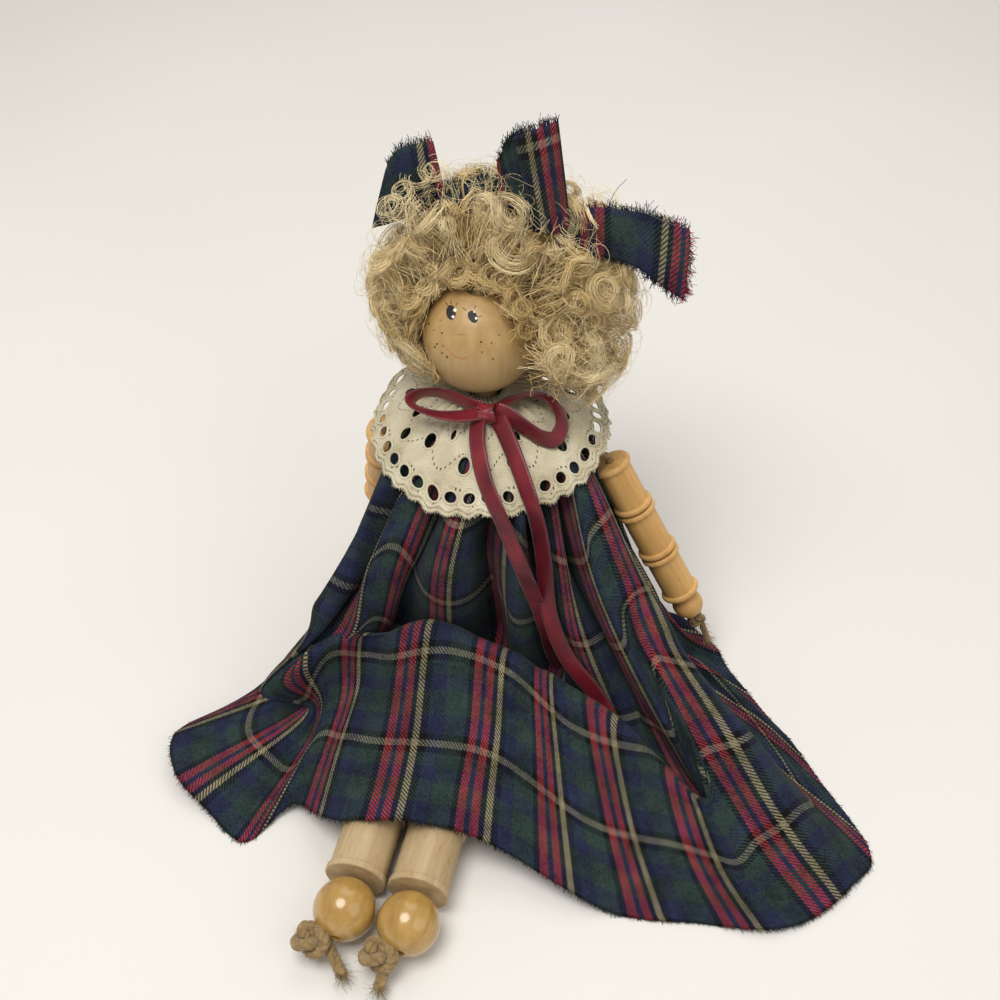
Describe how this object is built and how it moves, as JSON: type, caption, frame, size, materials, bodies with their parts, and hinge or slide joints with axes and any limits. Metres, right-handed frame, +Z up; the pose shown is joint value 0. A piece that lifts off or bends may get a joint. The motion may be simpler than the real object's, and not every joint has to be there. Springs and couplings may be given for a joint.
{
  "type": "spool doll",
  "caption": "Seated doll strung from turned wooden spools and beads on jute twine, in a gathered plaid dress with a lace collar, ribbon bow, curly wig and plaid hair bow.",
  "frame": {"origin": "centre of the seat face under the lower body spool, on the table", "axes": "+Z up along the body spools, the doll faces -Y, its own left arm is on +X"},
  "size_m": [0.2382, 0.2248, 0.1947],
  "materials": {
    "body_wood": "raw turned hardwood, matte",
    "arm_wood": "honey coloured turned hardwood, satin",
    "leg_wood": "raw pale birch with fine flecks, matte",
    "foot_wood": "golden stained wooden bead, glossy varnish",
    "head_wood": "tan wooden ball with a painted face, satin",
    "jute_twine": "three ply jute twine, hairy",
    "plaid_flannel": "brushed plaid flannel with raw frayed edges",
    "eyelet_lace": "cream cotton eyelet lace",
    "satin_ribbon": "wine red satin ribbon with stitched edges",
    "wig_curls": "pale blond curled doll hair"
  },
  "bodies": {
    "torso": {"lower_body_spool": "body_wood", "upper_body_spool": "body_wood", "neck_bead": "body_wood", "spine_twine": "jute_twine", "shoulder_twine": "jute_twine", "hip_twine": "jute_twine", "dress": "plaid_flannel", "lace_collar": "eyelet_lace", "neck_ribbon": "satin_ribbon"},
    "head": {"head_ball": "head_wood", "hair_wig": "wig_curls", "hair_bow": "plaid_flannel"},
    "left_upper_arm": {"left_upper_arm_spool": "arm_wood", "left_upper_arm_twine": "jute_twine"},
    "left_middle_arm": {"left_middle_arm_spool": "arm_wood", "left_middle_arm_twine": "jute_twine"},
    "left_lower_arm": {"left_lower_arm_spool": "arm_wood", "left_lower_arm_twine": "jute_twine"},
    "left_hand": {"left_hand_bead": "arm_wood", "left_hand_knot": "jute_twine"},
    "right_upper_arm": {"right_upper_arm_spool": "arm_wood", "right_upper_arm_twine": "jute_twine"},
    "right_middle_arm": {"right_middle_arm_spool": "arm_wood", "right_middle_arm_twine": "jute_twine"},
    "right_lower_arm": {"right_lower_arm_spool": "arm_wood", "right_lower_arm_twine": "jute_twine"},
    "right_hand": {"right_hand_bead": "arm_wood", "right_hand_knot": "jute_twine"},
    "left_thigh": {"left_thigh_spool": "leg_wood", "left_thigh_twine": "jute_twine"},
    "left_knee": {"left_knee_spool": "leg_wood", "left_knee_twine": "jute_twine"},
    "left_calf": {"left_calf_spool": "leg_wood", "left_calf_twine": "jute_twine"},
    "left_ankle": {"left_ankle_spool": "leg_wood", "left_ankle_twine": "jute_twine"},
    "left_foot": {"left_foot_bead": "foot_wood", "left_foot_knot": "jute_twine"},
    "right_thigh": {"right_thigh_spool": "leg_wood", "right_thigh_twine": "jute_twine"},
    "right_knee": {"right_knee_spool": "leg_wood", "right_knee_twine": "jute_twine"},
    "right_calf": {"right_calf_spool": "leg_wood", "right_calf_twine": "jute_twine"},
    "right_ankle": {"right_ankle_spool": "leg_wood", "right_ankle_twine": "jute_twine"},
    "right_foot": {"right_foot_bead": "foot_wood", "right_foot_knot": "jute_twine"}
  },
  "joints": [
    {"name": "head_turn", "type": "hinge", "parent": "torso", "child": "head", "pos_m": [-0.003, 0.006, 0.11], "axis": [0, 0, 1], "range_deg": [-30, 30]},
    {"name": "left_shoulder", "type": "hinge", "parent": "torso", "child": "left_upper_arm", "pos_m": [0.0405, -0.0095, 0.0854], "axis": [-0.1008, -0.9781, 0.1818], "range_deg": [0, 70]},
    {"name": "left_arm_bend_1", "type": "hinge", "parent": "left_upper_arm", "child": "left_middle_arm", "pos_m": [0.05634, -0.01422, 0.06879], "axis": [-0.1008, -0.9781, 0.1818], "range_deg": [0, 35]},
    {"name": "left_arm_bend_2", "type": "hinge", "parent": "left_middle_arm", "child": "left_lower_arm", "pos_m": [0.06601, -0.01846, 0.05134], "axis": [-0.1008, -0.9781, 0.1818], "range_deg": [0, 35]},
    {"name": "left_wrist", "type": "hinge", "parent": "left_lower_arm", "child": "left_hand", "pos_m": [0.07322, -0.02385, 0.02637], "axis": [-0.1008, -0.9781, 0.1818], "range_deg": [-20, 30]},
    {"name": "right_shoulder", "type": "hinge", "parent": "torso", "child": "right_upper_arm", "pos_m": [-0.036, 0.003, 0.083], "axis": [0.0566, 0.9135, 0.4028], "range_deg": [0, 80]},
    {"name": "right_arm_bend_1", "type": "hinge", "parent": "right_upper_arm", "child": "right_middle_arm", "pos_m": [-0.04463, 0.01223, 0.06327], "axis": [0.0566, 0.9135, 0.4028], "range_deg": [0, 35]},
    {"name": "right_arm_bend_2", "type": "hinge", "parent": "right_middle_arm", "child": "right_lower_arm", "pos_m": [-0.04722, 0.02053, 0.04482], "axis": [0.0566, 0.9135, 0.4028], "range_deg": [0, 35]},
    {"name": "right_wrist", "type": "hinge", "parent": "right_lower_arm", "child": "right_hand", "pos_m": [-0.04477, 0.03106, 0.02058], "axis": [0.0566, 0.9135, 0.4028], "range_deg": [-20, 30]},
    {"name": "left_hip", "type": "hinge", "parent": "torso", "child": "left_thigh", "pos_m": [0.00323, -0.03139, 0.01], "axis": [0.9833, -0.1822, 0], "range_deg": [0, 90]},
    {"name": "left_leg_bend_1", "type": "hinge", "parent": "left_thigh", "child": "left_knee", "pos_m": [-0.00182, -0.05863, 0.0006], "axis": [0.9833, -0.1822, 0], "range_deg": [0, 30]},
    {"name": "left_leg_bend_2", "type": "hinge", "parent": "left_knee", "child": "left_calf", "pos_m": [-0.00645, -0.08361, 0.0006], "axis": [0.9833, -0.1822, 0], "range_deg": [0, 30]},
    {"name": "left_leg_bend_3", "type": "hinge", "parent": "left_calf", "child": "left_ankle", "pos_m": [-0.01108, -0.10858, 0.0006], "axis": [0.9833, -0.1822, 0], "range_deg": [0, 30]},
    {"name": "left_toe", "type": "hinge", "parent": "left_ankle", "child": "left_foot", "pos_m": [-0.01753, -0.14339, 0.01], "axis": [0.9833, -0.1822, 0], "range_deg": [0, 30]},
    {"name": "right_hip", "type": "hinge", "parent": "torso", "child": "right_thigh", "pos_m": [-0.01723, -0.02761, 0.01], "axis": [0.9833, -0.1822, 0], "range_deg": [0, 90]},
    {"name": "right_leg_bend_1", "type": "hinge", "parent": "right_thigh", "child": "right_knee", "pos_m": [-0.02227, -0.05484, 0.0006], "axis": [0.9833, -0.1822, 0], "range_deg": [0, 30]},
    {"name": "right_leg_bend_2", "type": "hinge", "parent": "right_knee", "child": "right_calf", "pos_m": [-0.0269, -0.07982, 0.0006], "axis": [0.9833, -0.1822, 0], "range_deg": [0, 30]},
    {"name": "right_leg_bend_3", "type": "hinge", "parent": "right_calf", "child": "right_ankle", "pos_m": [-0.03153, -0.10479, 0.0006], "axis": [0.9833, -0.1822, 0], "range_deg": [0, 30]},
    {"name": "right_toe", "type": "hinge", "parent": "right_ankle", "child": "right_foot", "pos_m": [-0.03798, -0.1396, 0.01], "axis": [0.9833, -0.1822, 0], "range_deg": [0, 30]}
  ]
}
